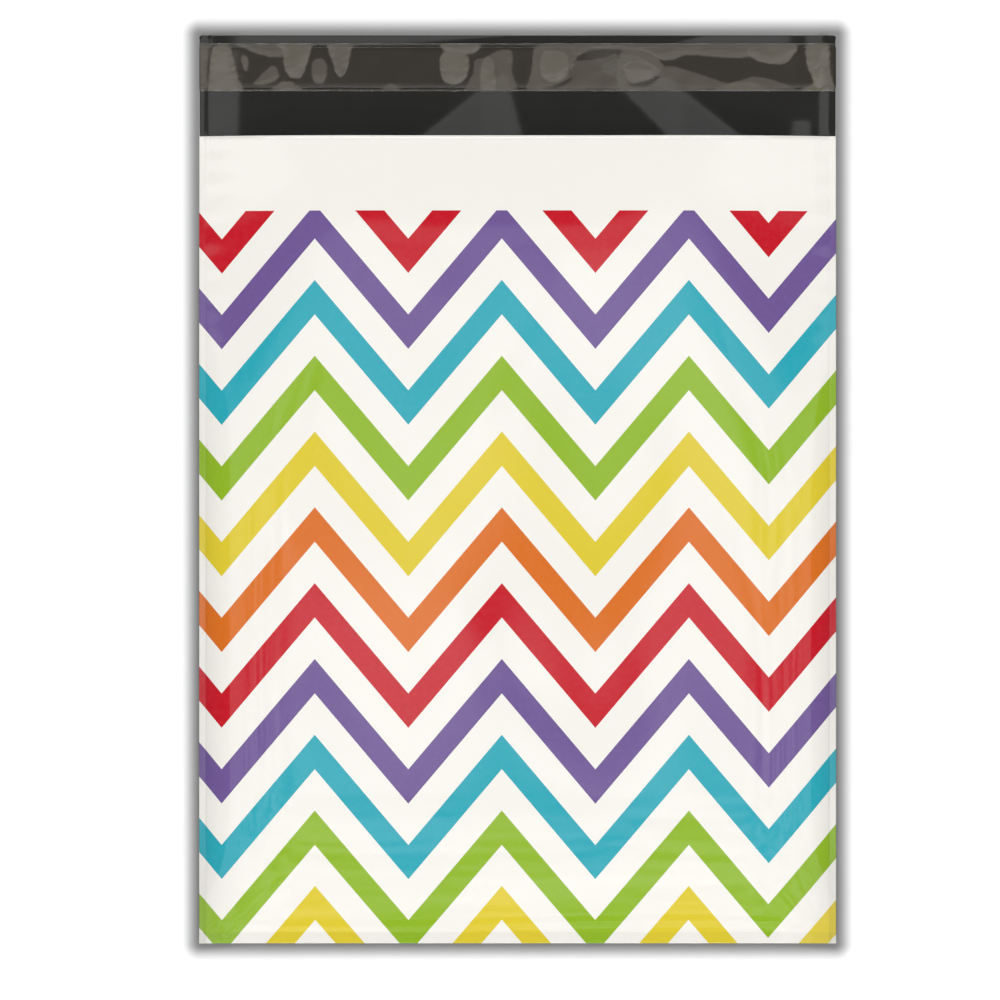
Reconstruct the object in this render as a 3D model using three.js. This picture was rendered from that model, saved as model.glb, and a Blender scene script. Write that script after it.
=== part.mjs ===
// A flat mailing bag of co-extruded film, white and printed outside and black inside.
// One web of film is folded at the bottom and welded along both sides. Its back panel runs on
// past the mouth as a flap, with a glue line and the clear strip that covers it.
//
// Millimetres. The bag lies on its back panel: +X is to its right, +Y runs from the bottom fold
// to the flap, +Z is up, and the origin is under the middle of the whole bag.

import * as THREE from 'three';
import { toCreasedNormals } from 'three/addons/utils/BufferGeometryUtils.js';

// Film
const BAG_WIDTH = 254;
const FRONT_LENGTH = 322;
const FLAP_LENGTH = 40.3;
const FILM_THICKNESS = 0.0635;

// Side welds
const WELD_WIDTH = 2.5;
const WELD_CORE = 0.1;

// How the relaxed pocket stands open, between the inner faces of its two panels
const FOLD_GAP = 0.6;
const BELLY_GAP = 9;
const MOUTH_GAP = 10;
const SIDE_SHOULDER = 40;
const FOLD_SHOULDER = 60;
const MOUTH_RISE = 150;

// How far the welded sides lift off the table, which fades out towards the mouth
const SIDE_LIFT = 1.5;
const LIFT_WIDTH = 26;
const LIFT_FADE = 90;

// Closing strip on the flap
const LINER_FROM_LIP = 3.2;
const LINER_HEIGHT = 19.1;
const LINER_THICKNESS = 0.05;
const GLUE_INSET = 1.5;
const GLUE_THICKNESS = 0.1;
const GLUE_TAPER = 0.8;

// Air that stays between the strip and the glue, as bubbles that lift the strip. Each has its
// middle from the left edge and from the lip, and its size across the bag and along it.
const BUBBLES = [
  [9.4, 12.6, 12.2, 17.6],
  [26.4, 16.2, 9.6, 5],
  [38.7, 10, 9.2, 16.5],
  [47.7, 14.6, 6.4, 9.4],
  [55.4, 9.8, 6.6, 13.8],
  [101.6, 12, 11.4, 15],
  [113.2, 15, 8.6, 11.8],
  [140.6, 12.4, 14.6, 13.4],
  [158.6, 15.6, 17.6, 10.6],
  [175, 15.2, 13.6, 8.2],
  [195, 19.4, 20, 5.4],
  [217.4, 20.6, 18, 5],
  [227.6, 7.4, 18.6, 7.6],
  [246.6, 12.6, 9.6, 17.4],
];
const BUBBLE_RISE = 0.2;
const BUBBLE_RIM = 1.8;
const STRIP_ROWS = 7;

// Print: zigzag bands across the web, from the bare band at the mouth to the flap's lip
const BARE_BAND = 30;
const BAND_HEIGHT = 13.7;
const BAND_SPACING = 30.18;
const FIRST_BAND = -2.7;
const ZIGZAG_SLOPE = 1.182;
const HALF_WAVE = 37.2;
const FIRST_VALLEY_FROM_LEFT = 9.1;
const LAST_VALLEY_FROM_RIGHT = 27.1;

// Facets
const FOLD_STEPS = 6;
const SHOULDER_COLUMNS = [5, 11, 24];
const SHOULDER_ROWS = [4, 10, 20, 34];
const SMALLEST_STEP = 1.2;
const ROUNDING = 1e-7;
const CREASE_ANGLE = THREE.MathUtils.degToRad(50);

const COLOURS = {
  bare: new THREE.Color(0xf7f6f1),
  inside: new THREE.Color(0x1d1c1b),
  stuck: new THREE.Color(0x3a362f),
  lifted: new THREE.Color(0x9c978b),
  bands: [0xc81426, 0x6f559f, 0x2aacba, 0x96c537, 0xe6d43e, 0xe16e23].map((hex) => new THREE.Color(hex)),
};

const HALF_WIDTH = BAG_WIDTH / 2;
const BAG_LENGTH = FRONT_LENGTH + FLAP_LENGTH;
const FOLD_Y = -BAG_LENGTH / 2;
const LIP_Y = BAG_LENGTH / 2;
const MOUTH_Y = LIP_Y - FLAP_LENGTH;
const WELD_X = HALF_WIDTH - WELD_WIDTH;

// A place on the web is (x, w): w is 0 at the mouth of the front panel and grows down the front,
// round the bottom fold, up the back panel and on to the flap's lip.
const FOLD_START = FRONT_LENGTH;
const FOLD_END = FOLD_START + (Math.PI * (FOLD_GAP + FILM_THICKNESS)) / 2;
const FLAP_START = FOLD_END + FRONT_LENGTH;
const LIP = FLAP_START + FLAP_LENGTH;

const { clamp, lerp, smoothstep } = THREE.MathUtils;

// 0 at an edge, rising in a curve that is level once the shoulder is past.
const shoulder = (distance, width) => 1 - (1 - clamp(distance / width, 0, 1)) ** 2;

// How far the pocket has opened at this x, from 0 at the welds to 1 past the shoulders.
const openShare = (x) => shoulder(WELD_X - Math.abs(x), SIDE_SHOULDER);

// The inner radius of the bottom fold, and the middle of its round.
const foldRadius = (x) => lerp(WELD_CORE, FOLD_GAP, openShare(x)) / 2;
const foldMiddle = (x) => FOLD_Y + FILM_THICKNESS + foldRadius(x);

// The clear height of the pocket over a place of the back panel.
function pocketGap(x, y) {
  const belly = lerp(FOLD_GAP, BELLY_GAP, shoulder(y - foldMiddle(x), FOLD_SHOULDER));
  const open = belly + (MOUTH_GAP - BELLY_GAP) * smoothstep(y, MOUTH_Y - MOUTH_RISE, MOUTH_Y);
  return lerp(WELD_CORE, open, openShare(x));
}

// How high the underside of the back panel is off the table.
function lift(x, y) {
  const nearSide = 1 - clamp((HALF_WIDTH - Math.abs(x)) / LIFT_WIDTH, 0, 1);
  return SIDE_LIFT * nearSide ** 2 * (1 - smoothstep(y, MOUTH_Y - LIFT_FADE, MOUTH_Y));
}

// Where a place of the web lies, on its printed outer face or on its black inner face.
function filmPoint(x, w, face) {
  const outward = face === 'outer' ? FILM_THICKNESS : 0;
  const middle = foldMiddle(x);
  if (w >= FOLD_END) {
    const underPocket = lerp(middle, MOUTH_Y, (w - FOLD_END) / FRONT_LENGTH);
    const y = w < FLAP_START ? underPocket : MOUTH_Y + w - FLAP_START;
    return new THREE.Vector3(x, y, lift(x, y) + FILM_THICKNESS - outward);
  }
  if (w > FOLD_START) {
    const turn = (Math.PI * (w - FOLD_START)) / (FOLD_END - FOLD_START);
    const radius = foldRadius(x) + outward;
    const height = lift(x, middle) + FILM_THICKNESS + foldRadius(x);
    return new THREE.Vector3(x, middle - radius * Math.sin(turn), height + radius * Math.cos(turn));
  }
  const y = lerp(MOUTH_Y, middle, w / FRONT_LENGTH);
  return new THREE.Vector3(x, y, lift(x, y) + FILM_THICKNESS + pocketGap(x, y) + outward);
}

// The turns of the zigzag, from its first valley to its last, which comes early because the
// width of the bag isn't a whole number of waves.
const turns = [];
const lastTurn = HALF_WIDTH - LAST_VALLEY_FROM_RIGHT;
for (let x = FIRST_VALLEY_FROM_LEFT - HALF_WIDTH; x < lastTurn - SMALLEST_STEP; x += HALF_WAVE) {
  turns.push(x);
}
turns.push(lastTurn);

// How far a band has climbed at this x, above its first valley.
function zigzag(x) {
  let height = Math.max(0, turns[0] - x) * ZIGZAG_SLOPE;
  let slope = ZIGZAG_SLOPE;
  turns.forEach((turn, i) => {
    height += slope * Math.max(0, Math.min(x, turns[i + 1] ?? HALF_WIDTH) - turn);
    slope = -slope;
  });
  return height;
}

// The web coordinate of a band's upper edge at this x. A band climbs towards the mouth, where
// the web coordinate falls.
const bandEdge = (band, x) => FIRST_BAND + band * BAND_SPACING + HALF_WAVE * ZIGZAG_SLOPE - zigzag(x);
const lowestBand = Math.floor((LIP - FIRST_BAND) / BAND_SPACING);

function colourAt(x, w) {
  if (w < BARE_BAND) return COLOURS.bare;
  const band = Math.floor((w - bandEdge(0, x)) / BAND_SPACING);
  if (w - bandEdge(band, x) > BAND_HEIGHT) return COLOURS.bare;
  return COLOURS.bands.at(band % COLOURS.bands.length);
}

// Sorted values, without those that lie closer than the smallest step to a wanted one.
function spread(wanted, extra) {
  const kept = extra.filter((value) => wanted.every((other) => Math.abs(other - value) > SMALLEST_STEP));
  return [...new Set([...wanted, ...kept])].sort((a, b) => a - b);
}

// Columns run along the web, at the edges, the welds, the turns of the print and in the
// shoulders. Rows run across it, at the mouth, the fold, the print's end and in the curves.
const columns = spread(
  [-HALF_WIDTH, -WELD_X, ...turns, WELD_X, HALF_WIDTH],
  [...SHOULDER_COLUMNS, SIDE_SHOULDER].flatMap((inset) => [inset - WELD_X, WELD_X - inset]),
);
const foldRows = Array.from({ length: FOLD_STEPS + 1 }, (_, i) => (
  lerp(FOLD_START, FOLD_END, i / FOLD_STEPS)
));
const rows = spread(
  [0, BARE_BAND, ...foldRows, FLAP_START, LIP],
  [...SHOULDER_ROWS, FOLD_SHOULDER].map((inset) => FOLD_START - inset),
);

// Cuts a convex outline by the line w = a + b * x and gives the parts on both sides.
function cut(outline, a, b) {
  const away = outline.map(([x, w]) => w - a - b * x);
  const parts = [[], []];
  outline.forEach((point, i) => {
    const next = (i + 1) % outline.length;
    if (away[i] <= ROUNDING) parts[0].push(point);
    if (away[i] >= -ROUNDING) parts[1].push(point);
    if (Math.min(away[i], away[next]) < -ROUNDING && Math.max(away[i], away[next]) > ROUNDING) {
      const share = away[i] / (away[i] - away[next]);
      const crossing = point.map((value, axis) => lerp(value, outline[next][axis], share));
      parts[0].push(crossing);
      parts[1].push(crossing);
    }
  });
  return parts.filter((part) => part.length > 2);
}

// The convex cells of the web between two neighbouring columns.
function cellsBetween(left, right) {
  let cells = [[[left, 0], [right, 0], [right, LIP], [left, LIP]]];
  const cutAll = (a, b) => {
    cells = cells.flatMap((cell) => cut(cell, a, b));
  };
  rows.slice(1, -1).forEach((row) => cutAll(row, 0));
  for (let band = -1; band <= lowestBand; band += 1) {
    for (const offset of [0, BAND_HEIGHT]) {
      const start = bandEdge(band, left) + offset;
      const slope = (bandEdge(band, right) + offset - start) / (right - left);
      cutAll(start - slope * left, slope);
    }
  }
  return cells;
}

// Triangles with a colour each, as one closed surface.
class Surface {
  positions = [];

  colours = [];

  triangle(a, b, c, colour) {
    if (a.equals(b) || b.equals(c) || c.equals(a)) return;
    this.positions.push(...a, ...b, ...c);
    for (let i = 0; i < 3; i += 1) this.colours.push(colour.r, colour.g, colour.b);
  }

  fan(points, colour) {
    for (let i = 1; i + 1 < points.length; i += 1) {
      this.triangle(points[0], points[i], points[i + 1], colour);
    }
  }

  // Fills the narrow wall between two lines of points, along which the key grows. The second
  // line goes first where both are level, unless that makes a triangle without area.
  zip(first, second, key, flipped, colour) {
    let [i, j] = [0, 0];
    while (i + 1 < first.length || j + 1 < second.length) {
      const here = [key(first[i]), key(second[j])];
      const next = [first[i + 1], second[j + 1]].map((point) => (point ? key(point) : Infinity));
      const isEmpty = Math.max(...here, Math.min(...next)) - Math.min(...here) < ROUNDING;
      const isSooner = next[0] < next[1];
      const takesFirst = next.includes(Infinity) ? isSooner : isSooner !== isEmpty;
      const tip = takesFirst ? first[i + 1] : second[j + 1];
      this.triangle(...(flipped ? [second[j], first[i], tip] : [first[i], second[j], tip]), colour);
      if (takesFirst) i += 1;
      else j += 1;
    }
  }

  geometry() {
    const geometry = new THREE.BufferGeometry();
    geometry.setAttribute('position', new THREE.Float32BufferAttribute(this.positions, 3));
    geometry.setAttribute('color', new THREE.Float32BufferAttribute(this.colours, 3));
    return toCreasedNormals(geometry, CREASE_ANGLE);
  }
}

// The values between two limits, from the first limit to the second, each only once.
function between(values, from, to) {
  const inside = values.filter((value) => (value - from) * (value - to) < ROUNDING);
  const inOrder = inside.sort((a, b) => a - b).filter((value, i, all) => !(value - all[i - 1] < ROUNDING));
  return from < to ? inOrder : inOrder.reverse();
}

function filmGeometry() {
  const surface = new Surface();
  const corners = [];
  for (let i = 0; i + 1 < columns.length; i += 1) {
    const inWeld = Math.abs(columns[i] + columns[i + 1]) / 2 > WELD_X;
    for (const cell of cellsBetween(columns[i], columns[i + 1])) {
      const [x, w] = [0, 1].map((axis) => cell.reduce((sum, point) => sum + point[axis] / cell.length, 0));
      const cornersOn = (face) => cell.map((corner) => filmPoint(...corner, face));
      corners.push(...cell);
      surface.fan(cornersOn('outer').reverse(), colourAt(x, w));
      if (!inWeld || w > FLAP_START) surface.fan(cornersOn('inner'), COLOURS.inside);
    }
  }

  // The points of a column between two places on the web, and those of a row.
  const along = (x, from, to, face) => {
    const column = corners.filter((corner) => Math.abs(corner[0] - x) < ROUNDING);
    return between(column.map((corner) => corner[1]), from, to).map((w) => filmPoint(x, w, face));
  };
  const across = (w, from, to, face) => {
    const row = corners.filter((corner) => Math.abs(corner[1] - w) < ROUNDING);
    return between(row.map((corner) => corner[0]), from, to).map((x) => filmPoint(x, w, face));
  };

  const halfTurn = foldRows[FOLD_STEPS / 2];
  const middle = columns[Math.floor(columns.length / 2)];
  for (const side of [-1, 1]) {
    const edge = side * HALF_WIDTH;
    const weld = side * WELD_X;
    const wall = (first, second, key) => surface.zip(first, second, key, side < 0, COLOURS.bare);
    const toFold = (point) => -point.y;
    const toLip = (point) => point.y;
    const toSide = (point) => side * point.x;

    // The welded side, from outside and in the pocket.
    const seam = filmPoint(edge, FLAP_START, 'inner');
    wall(along(edge, FLAP_START, halfTurn, 'outer'), [seam, ...along(edge, 0, halfTurn, 'outer')], toFold);
    wall(along(weld, 0, halfTurn, 'inner'), along(weld, FLAP_START, halfTurn, 'inner'), toFold);

    // The cut edges of the flap, and those of the mouth.
    wall(along(edge, FLAP_START, LIP, 'inner'), along(edge, FLAP_START, LIP, 'outer'), toLip);
    wall(across(LIP, middle, edge, 'outer'), across(LIP, middle, edge, 'inner'), toSide);
    const under = [...across(0, middle, weld, 'inner'), ...across(FLAP_START, weld, edge, 'inner')];
    wall(under, across(0, middle, edge, 'outer'), toSide);
  }
  return surface.geometry();
}

// The glue line, a little thinner along its two long edges.
function glueGeometry() {
  const near = LIP_Y - LINER_FROM_LIP - GLUE_INSET;
  const far = LIP_Y - LINER_FROM_LIP - LINER_HEIGHT + GLUE_INSET;
  const section = new THREE.Shape([
    new THREE.Vector2(far, 0),
    new THREE.Vector2(near, 0),
    new THREE.Vector2(near - GLUE_TAPER, GLUE_THICKNESS),
    new THREE.Vector2(far + GLUE_TAPER, GLUE_THICKNESS),
  ]);
  const geometry = new THREE.ExtrudeGeometry(section, { depth: BAG_WIDTH, bevelEnabled: false });
  geometry.rotateX(Math.PI / 2).rotateZ(Math.PI / 2);
  return geometry.translate(-HALF_WIDTH, 0, FILM_THICKNESS);
}

// How high a bubble lifts the clear strip at this place, which is 0 between the bubbles.
function bubbleRise(x, fromLip) {
  const rises = BUBBLES.map(([left, down, width, height]) => {
    const fromSide = width / 2 - Math.abs(x + HALF_WIDTH - left);
    const fromEnd = height / 2 - Math.abs(fromLip - down);
    return shoulder(Math.min(fromSide, fromEnd), BUBBLE_RIM);
  });
  return BUBBLE_RISE * Math.max(...rises);
}

// The clear strip, as cells between lines at the rims of the bubbles.
function linerGeometry() {
  const surface = new Surface();
  const rims = BUBBLES.flatMap(([left, , width]) => {
    const [start, end] = [left - width / 2, left + width / 2];
    return [start, start + BUBBLE_RIM, end - BUBBLE_RIM, end].map((fromLeft) => fromLeft - HALF_WIDTH);
  });
  const lines = rims.sort((a, b) => a - b).reduce((kept, x) => (
    x - kept.at(-1) > SMALLEST_STEP && HALF_WIDTH - x > SMALLEST_STEP ? [...kept, x] : kept
  ), [-HALF_WIDTH]);
  lines.push(HALF_WIDTH);
  const levels = Array.from({ length: STRIP_ROWS + 1 }, (_, i) => (
    LINER_FROM_LIP + (LINER_HEIGHT * i) / STRIP_ROWS
  ));
  const point = (i, j, raised) => {
    const rise = bubbleRise(lines[i], levels[j]);
    return new THREE.Vector3(lines[i], LIP_Y - levels[j], FILM_THICKNESS + GLUE_THICKNESS + rise + raised);
  };
  const wall = (first, second) => {
    const [top, bottom] = [LINER_THICKNESS, 0].map((raised) => (
      [first, second].map((at) => point(...at, raised))
    ));
    surface.fan([top[0], bottom[0], bottom[1], top[1]], COLOURS.stuck);
  };
  for (let i = 0; i + 1 < lines.length; i += 1) {
    for (let j = 0; j < STRIP_ROWS; j += 1) {
      const middle = bubbleRise((lines[i] + lines[i + 1]) / 2, (levels[j] + levels[j + 1]) / 2);
      const colour = middle > BUBBLE_RISE / 3 ? COLOURS.lifted : COLOURS.stuck;
      const cell = [[i, j], [i, j + 1], [i + 1, j + 1], [i + 1, j]];
      surface.fan(cell.map((at) => point(...at, LINER_THICKNESS)), colour);
      surface.fan(cell.map((at) => point(...at, 0)).reverse(), colour);
    }
    wall([i, STRIP_ROWS], [i + 1, STRIP_ROWS]);
    wall([i + 1, 0], [i, 0]);
  }
  for (let j = 0; j < STRIP_ROWS; j += 1) {
    wall([0, j], [0, j + 1]);
    wall([lines.length - 1, j + 1], [lines.length - 1, j]);
  }
  return surface.geometry();
}

function mesh(name, geometry, material) {
  const made = new THREE.Mesh(geometry, new THREE.MeshStandardMaterial(material));
  made.name = name;
  return made;
}

const bag = new THREE.Group();
bag.add(mesh('mailer_film', filmGeometry(), { vertexColors: true, roughness: 0.28 }));
bag.add(mesh('adhesive_strip', glueGeometry(), { color: 0x3a342a, roughness: 0.3 }));
bag.add(
  mesh('release_liner', linerGeometry(), {
    vertexColors: true,
    roughness: 0.12,
    transparent: true,
    opacity: 0.45,
  }),
);

export default bag;
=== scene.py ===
# %% [markdown]
# # A mailing bag of printed plastic film
#
# The object is a poly mailer: one web of thin film, white outside and black inside, folded once
# at the bottom and welded along both sides. Its back panel runs on past the mouth as a flap with
# a line of glue, which a clear strip covers until the bag is closed.
#
# The solid parts are loaded first and their sizes printed. The film, the glue and the clear strip below
# each take the place of one of them.

# %% Load the solid parts
import math

import bpy
import numpy as np
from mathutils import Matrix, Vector


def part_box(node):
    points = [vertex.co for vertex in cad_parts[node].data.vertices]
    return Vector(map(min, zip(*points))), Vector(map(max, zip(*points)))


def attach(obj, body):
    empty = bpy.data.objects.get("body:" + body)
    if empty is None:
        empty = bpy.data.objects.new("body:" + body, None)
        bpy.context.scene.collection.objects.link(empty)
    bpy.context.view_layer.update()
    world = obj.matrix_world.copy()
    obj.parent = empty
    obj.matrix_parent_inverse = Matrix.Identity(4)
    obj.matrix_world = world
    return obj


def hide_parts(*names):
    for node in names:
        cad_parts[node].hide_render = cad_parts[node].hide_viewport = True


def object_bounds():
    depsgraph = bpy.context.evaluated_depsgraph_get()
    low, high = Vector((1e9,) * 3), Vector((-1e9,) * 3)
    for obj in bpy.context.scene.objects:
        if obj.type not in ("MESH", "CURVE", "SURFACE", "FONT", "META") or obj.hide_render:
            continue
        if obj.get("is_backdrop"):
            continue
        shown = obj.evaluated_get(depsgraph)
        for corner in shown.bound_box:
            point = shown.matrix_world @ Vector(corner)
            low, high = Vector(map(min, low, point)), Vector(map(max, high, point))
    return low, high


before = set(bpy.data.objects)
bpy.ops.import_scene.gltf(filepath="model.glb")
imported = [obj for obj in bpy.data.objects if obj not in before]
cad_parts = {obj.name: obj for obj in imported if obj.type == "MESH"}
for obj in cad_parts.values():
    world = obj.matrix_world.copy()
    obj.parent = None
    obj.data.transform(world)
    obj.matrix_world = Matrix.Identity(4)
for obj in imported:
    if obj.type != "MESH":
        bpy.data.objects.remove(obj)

solid_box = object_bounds()
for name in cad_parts:
    low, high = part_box(name)
    print(name, "is", [round((b - a) * 1000, 2) for a, b in zip(low, high)], "mm")

# %% [markdown]
# ## Camera
#
# The photograph looks straight down on the bag with a long lens, so its sides stay parallel. A
# camera far away with a narrow view does the same. Its lens follows from the width that it has
# to see at that distance, which keeps the two from drifting apart when either one is changed.

# %% Camera above the bag
# The sensor's width is in millimetres, the other lengths are in metres.
SENSOR_WIDTH = 36
CAMERA_HEIGHT = 2.6
MIDDLE_OF_BAG = 0.005
SEEN_WIDTH = 0.3983
VIEW_CENTRE = (-0.00703, -0.00428)

camera = bpy.data.objects.new("camera", bpy.data.cameras.new("camera"))
camera.data.sensor_width = SENSOR_WIDTH
camera.data.lens = SENSOR_WIDTH * CAMERA_HEIGHT / SEEN_WIDTH
camera.data.clip_end = 50
camera.location = (*VIEW_CENTRE, CAMERA_HEIGHT + MIDDLE_OF_BAG)
bpy.context.collection.objects.link(camera)
bpy.context.scene.camera = camera
print("lens", round(camera.data.lens, 1), "mm")

# %% [markdown]
# ## How the film lies
#
# Film this thin has no stiffness to speak of: it lies where its welds, its fold and the air
# between the panels let it. Cloth simulation could settle it, but it stretches the print and
# never lands twice in the same way. Here the shape is written down as a rule instead. A place on
# the web is (x, w): x runs across the bag, and w runs down the front from the mouth, round the
# bottom fold, up the back and on to the lip of the flap. The rule says where that place lies, so
# the print can later be drawn on the flat web and still follow every bend.

# %% Sizes of the bag, in millimetres
BAG_WIDTH = 254
FRONT_LENGTH = 322
FLAP_LENGTH = 40.3
FILM_THICKNESS = 0.0635
WELD_WIDTH = 2.5
FOLD_GAP = 0.6

HALF_WIDTH = BAG_WIDTH / 2
LIP_Y = (FRONT_LENGTH + FLAP_LENGTH) / 2
FOLD_Y = -LIP_Y
MOUTH_Y = LIP_Y - FLAP_LENGTH
WELD_X = HALF_WIDTH - WELD_WIDTH
FOLD_START = FRONT_LENGTH
FOLD_END = FOLD_START + math.pi * (FOLD_GAP + FILM_THICKNESS) / 2
FLAP_START = FOLD_END + FRONT_LENGTH
LIP = FLAP_START + FLAP_LENGTH
print("web", round(LIP, 1), "mm long and", BAG_WIDTH, "mm wide")

# %% The pocket between its two panels
# A gap is a height inside the pocket, and a shoulder the width over which the film reaches it.
WELD_CORE = 0.1
BELLY_GAP = 9
MOUTH_GAP = 10
MOUTH_RISE = 150
FOLD_SHOULDER = 60
SIDE_SHOULDER, SIDE_TIGHTNESS = 40, 3.6
MOUTH_SHOULDER, MOUTH_TIGHTNESS = 76, 2.1
SLACK_START, SLACK_END = -10, 125


def smooth(value, start, end):
    """0 before the start, 1 past the end, and a soft step between them."""
    share = np.clip((value - start) / (end - start), 0, 1)
    return share * share * (3 - 2 * share)


def shoulder(distance, width, tightness=2):
    """0 at an edge, rising in a curve to a level 1 past its width, steeper at first if tight."""
    return 1 - (1 - np.clip(distance / width, 0, 1)) ** tightness


def open_share(x, width=SIDE_SHOULDER, tightness=SIDE_TIGHTNESS):
    """How far the pocket stands open across its width, 0 at the welds and 1 in the middle."""
    return shoulder(WELD_X - np.abs(x), width, tightness)


def fold_radius(x):
    return (WELD_CORE + (FOLD_GAP - WELD_CORE) * open_share(x)) / 2


def fold_middle(x):
    return FOLD_Y + FILM_THICKNESS + fold_radius(x)


def pocket_gap(x, y):
    """Height in mm inside the pocket, from its back panel to its front."""
    belly = FOLD_GAP + (BELLY_GAP - FOLD_GAP) * shoulder(y - fold_middle(x), FOLD_SHOULDER)
    wide = belly + (MOUTH_GAP - BELLY_GAP) * smooth(y, MOUTH_Y - MOUTH_RISE, MOUTH_Y)
    slack = smooth(y, SLACK_START, SLACK_END)
    width = SIDE_SHOULDER + (MOUTH_SHOULDER - SIDE_SHOULDER) * slack
    tightness = SIDE_TIGHTNESS + (MOUTH_TIGHTNESS - SIDE_TIGHTNESS) * slack
    return WELD_CORE + (wide - WELD_CORE) * open_share(x, width, tightness)


print("the pocket stands open by", round(float(pocket_gap(0, 0)), 1), "mm in the middle")

# %% The sides lift off the table
SIDE_LIFT = 1.5
LIFT_WIDTH = 26
LIFT_FADE = 90


def side_lift(x, y):
    """Height in mm of the back panel by the welds, which fades out towards the mouth."""
    near_side = 1 - np.clip((HALF_WIDTH - np.abs(x)) / LIFT_WIDTH, 0, 1)
    return SIDE_LIFT * near_side**2 * (1 - smooth(y, MOUTH_Y - LIFT_FADE, MOUTH_Y))


print("the welded edge lies", round(float(side_lift(HALF_WIDTH, 0)), 1), "mm above the table")

# %% [markdown]
# ## Small waves in the film
#
# What tells film from paper is the way it mirrors the lamp: whole patches turn light or dark at
# once where the film tips by only a degree. Those patches come from real waves less than a
# millimetre high, so the rule gets them too. The front droops in the middle of its mouth, swells
# in slow waves, puckers where the weld has shrunk its edge and has a faint crease by the fold.
# The flap is tipped in patches with straight edges, as creased film is once it is smoothed out.

# %% Waves of the front panel
MOUTH_DROOP, DROOP_LENGTH = 2.8, 46
SLOW_WAVE, SLANTED_WAVE = 0.16, 0.07
PUCKER, PUCKER_REACH = 0.07, 5.5
CREASE, CREASE_WIDTH, CREASE_PLACE = 0.10, 1.3, 7.6


def front_waves(x, w):
    """Height in mm that the front panel gets on top of its plain shape."""
    from_weld, from_fold = WELD_X - np.abs(x), FOLD_START - w
    calm = smooth(from_weld, 4, 40) * smooth(from_fold, 10, 60)
    slow = SLOW_WAVE * np.sin(x / 17 + 1.2 * np.sin(w / 61)) * np.sin(w / 47 + x / 83 + 0.8)
    slow += SLANTED_WAVE * np.sin(x / 9.5 - w / 38 + 2) * np.sin(w / 29 + 0.5)
    middle_of_mouth = smooth(x, -105, -35) * (1 - smooth(x, 20, 92))
    droop = -MOUTH_DROOP * np.clip(1 - w / DROOP_LENGTH, 0, 1) ** 2 * middle_of_mouth
    near_weld = np.exp(-np.clip(from_weld, 0, None) / PUCKER_REACH) * smooth(from_weld, -1, 1.5)
    pucker = np.sin(w / 1.55 + 1.7 * np.sin(w / 11.3) + x * 0.05)
    pucker = PUCKER * near_weld * pucker * (0.6 + 0.4 * np.sin(w / 23 + 1))
    off_crease = (from_fold - CREASE_PLACE - 1.2 * np.sin(x / 40)) / CREASE_WIDTH
    crease = -CREASE * np.exp(-(off_crease**2)) * smooth(from_weld, 3, 20)
    return slow * calm + droop + pucker + crease


print("the mouth droops by", round(-float(front_waves(0, 0)), 1), "mm in the middle")

# %% Tipped patches of the flap
# At the level slope the flap mirrors the back edge of the lamp. Tipped a little more, a patch is
# light, and a little less, it is dark. A narrow strip along the lip has patches of its own.
LEVEL_AT_MOUTH, LEVEL_AT_LIP = -0.0063, 0.0077
TIP = 0.011
LIP_STRIP = (36, 37.5)


def band(x, d, left, right, softness):
    """1 inside a patch, -1 outside. Each edge is its x at the lip and its x at the mouth."""
    from_mouth = np.clip(d / FLAP_LENGTH, 0, 1)
    left_edge = left[1] + (left[0] - left[1]) * from_mouth
    right_edge = right[1] + (right[0] - right[1]) * from_mouth
    return np.clip(np.minimum(x - left_edge, right_edge - x) / softness, -1, 1)


def flap_tip(x, d):
    """Slope of the flap along y at a distance d in mm from the mouth."""
    bands = [
        band(x, d, (-127.5, -127.5), (-124.6, -124.6), 0.7) - 0.45,
        band(x, d, (-123.4, -123.4), (-111.0, -111.6), 0.9),
        band(x, d, (11.6, -38.8), (-8.6, 1.9), 1.4),
        band(x, d, (20.6, 60.4), (39.0, 89.6), 1.6),
        band(x, d, (120.6, 120.2), (124.2, 124.2), 0.8),
        np.minimum(band(x, d, (109.7, 109.7), (116.8, 116.8), 1.2), (6.5 - d) / 1.2),
    ]
    bare = np.maximum.reduce(bands)
    lips = [
        band(x, d, (-127.5, -127.5), (-121.6, -121.6), 0.8) - 0.5,
        band(x, d, (-112.9, -112.9), (-3, -593), 5),
        band(x, d, (75, -99.6), (108.5, 108.5), 3),
        band(x, d, (115, 115), (121.6, 121.6), 1.2),
    ]
    lip = np.maximum.reduce(lips)
    on_lip = smooth(d, *LIP_STRIP)
    level = LEVEL_AT_MOUTH + (LEVEL_AT_LIP - LEVEL_AT_MOUTH) * d / FLAP_LENGTH
    return level + TIP * (bare * (1 - on_lip) + lip * on_lip)


# %% Waves of the flap
# The slopes are added up from the mouth to the lip, once for each half millimetre of x. Then
# each column is lowered until its lowest place touches the table.
WAVE_STEP = 0.5
wave_x = np.arange(-HALF_WIDTH, HALF_WIDTH + WAVE_STEP, WAVE_STEP)
wave_d = np.arange(0, FLAP_LENGTH + WAVE_STEP, WAVE_STEP)
tips = flap_tip(wave_x[:, None], wave_d[None, :])
wave_height = np.cumsum(tips, axis=1) * WAVE_STEP
wave_height -= wave_height[:, 1:].min(axis=1, keepdims=True)
print("the flap waves by", round(float(wave_height.max()), 2), "mm")


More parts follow.
